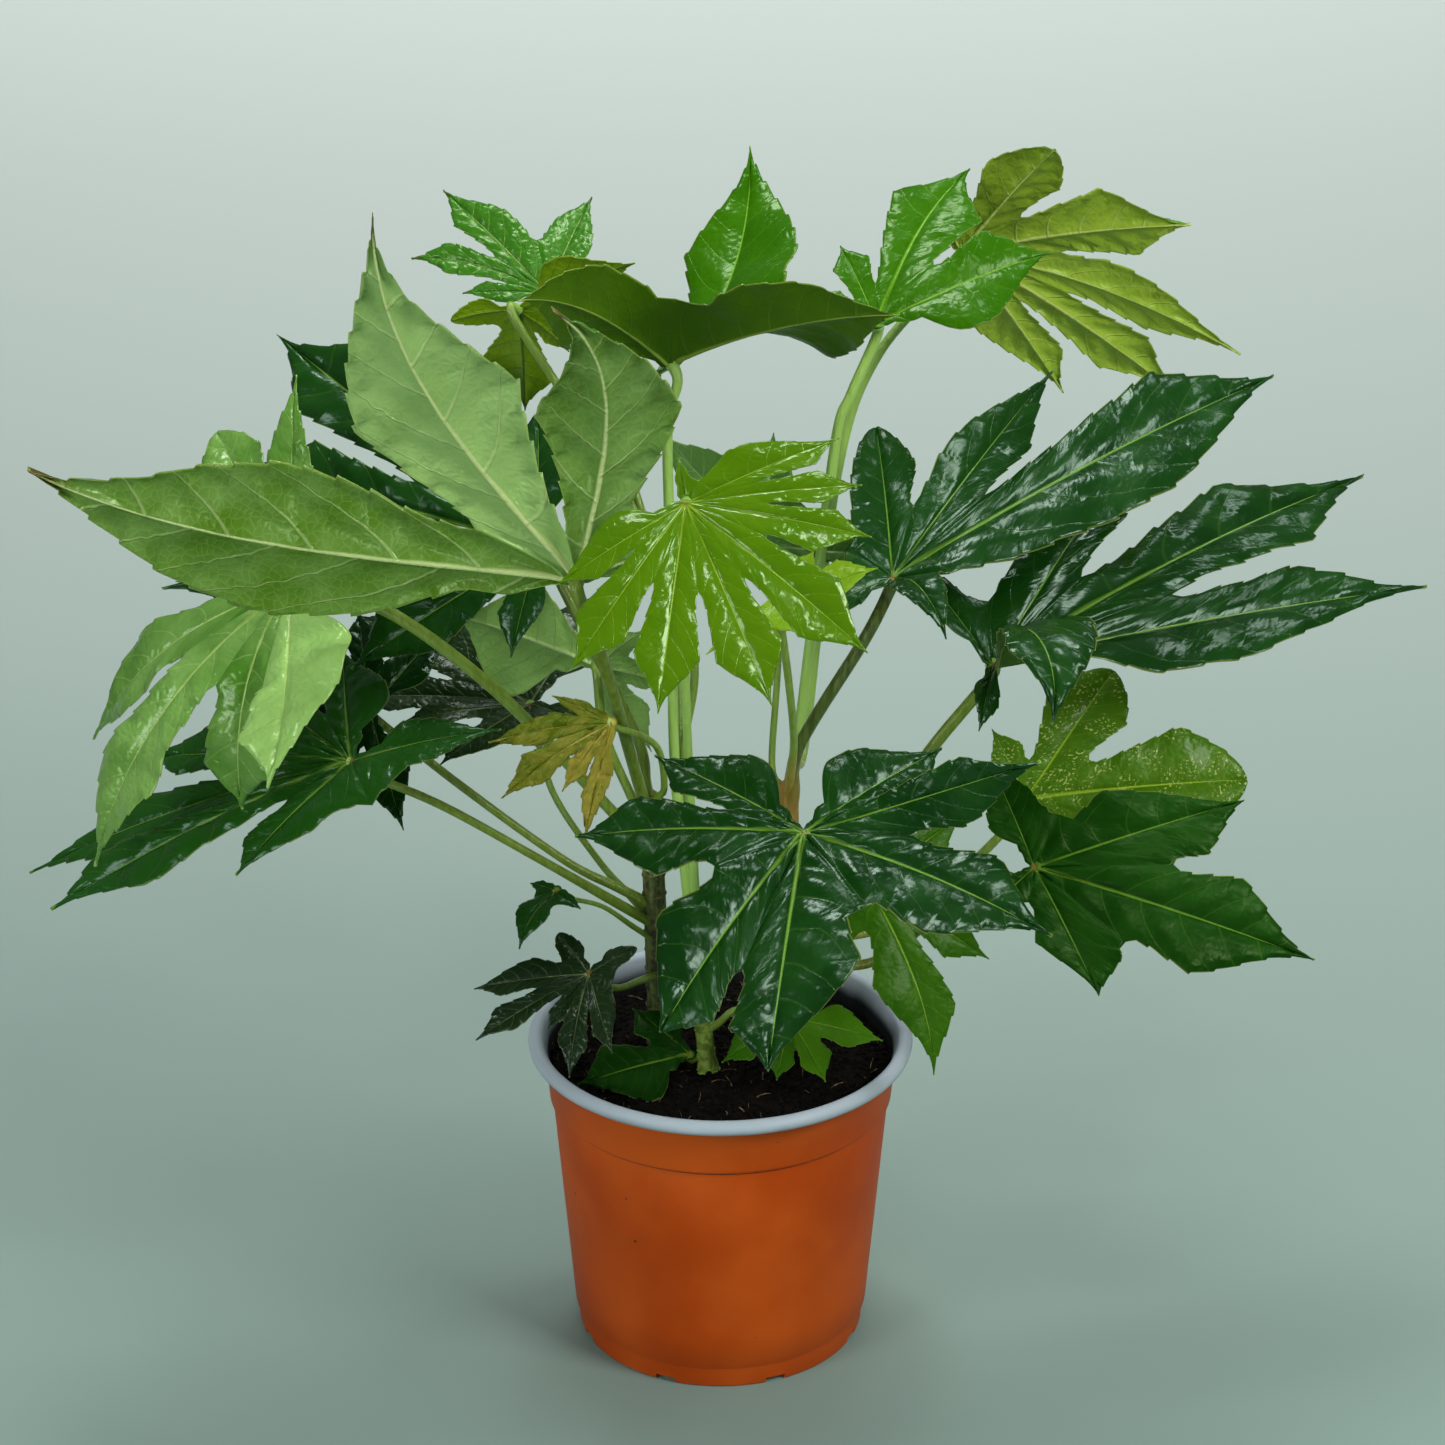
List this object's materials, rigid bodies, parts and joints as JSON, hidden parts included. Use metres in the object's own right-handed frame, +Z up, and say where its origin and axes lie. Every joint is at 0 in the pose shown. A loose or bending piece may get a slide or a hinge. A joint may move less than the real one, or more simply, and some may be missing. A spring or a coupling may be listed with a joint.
{
  "type": "potted fatsia plant",
  "caption": "Bushy broad-leaved houseplant with deeply lobed palmate leaves on long stalks, rooted in soil in a round tapered nursery pot with a rolled rim.",
  "frame": {"origin": "middle of the underside of the pot, on the surface that the pot stands on", "axes": "+Z up along the pot's axis; -Y towards the plant's front; +X to the right as seen from the front"},
  "size_m": [0.6891, 0.3801, 0.614],
  "materials": {
    "pot_plastic": "matte terracotta outside, blue-grey inside",
    "peat": "dark crumbly peat",
    "stem_bark": "olive-brown bark with green stalks",
    "stem_green": "smooth pale green",
    "leaf_pale": "pale green leaf underside, satin",
    "leaf_dark": "dark green leaf, glossy",
    "leaf_yellow": "yellow-green leaf, satin",
    "leaf_bright": "bright green leaf, glossy",
    "leaf_young": "young yellow-green leaf, very glossy",
    "leaf_shade": "dark green leaf, satin",
    "leaf_grey": "grey-green leaf underside, matt",
    "leaf_mottled": "yellow-mottled green leaf, satin",
    "leaf_mid": "middle green leaf, satin",
    "leaf_withered": "dry yellow-brown leaf, matt"
  },
  "bodies": {
    "root": {"pot": "pot_plastic", "soil": "peat", "stem_left": "stem_bark", "stem_middle": "stem_green", "stem_right": "stem_bark", "leaf_upright_left": "leaf_pale", "leaf_dark_behind": "leaf_dark", "leaf_yellow_top": "leaf_yellow", "leaf_small_top": "leaf_pale", "leaf_top_middle": "leaf_bright", "leaf_top_right": "leaf_bright", "leaf_far_right": "leaf_pale", "leaf_young_centre": "leaf_young", "leaf_front": "leaf_dark", "leaf_drooping_left": "leaf_bright", "leaf_low_left": "leaf_dark", "leaf_glossy_left": "leaf_dark", "leaf_back_left": "leaf_shade", "leaf_inner_left": "leaf_grey", "leaf_right_upper": "leaf_dark", "leaf_right_middle": "leaf_dark", "leaf_mottled_right": "leaf_mottled", "leaf_low_right": "leaf_dark", "leaf_hanging_right": "leaf_mid", "leaf_small_rim": "leaf_shade", "leaf_on_soil": "leaf_dark", "leaf_in_pot": "leaf_mid", "leaf_small_yellow": "leaf_yellow", "leaf_grey_centre": "leaf_grey", "leaf_withered": "leaf_withered", "leaf_sliver": "leaf_dark"}
  },
  "joints": []
}
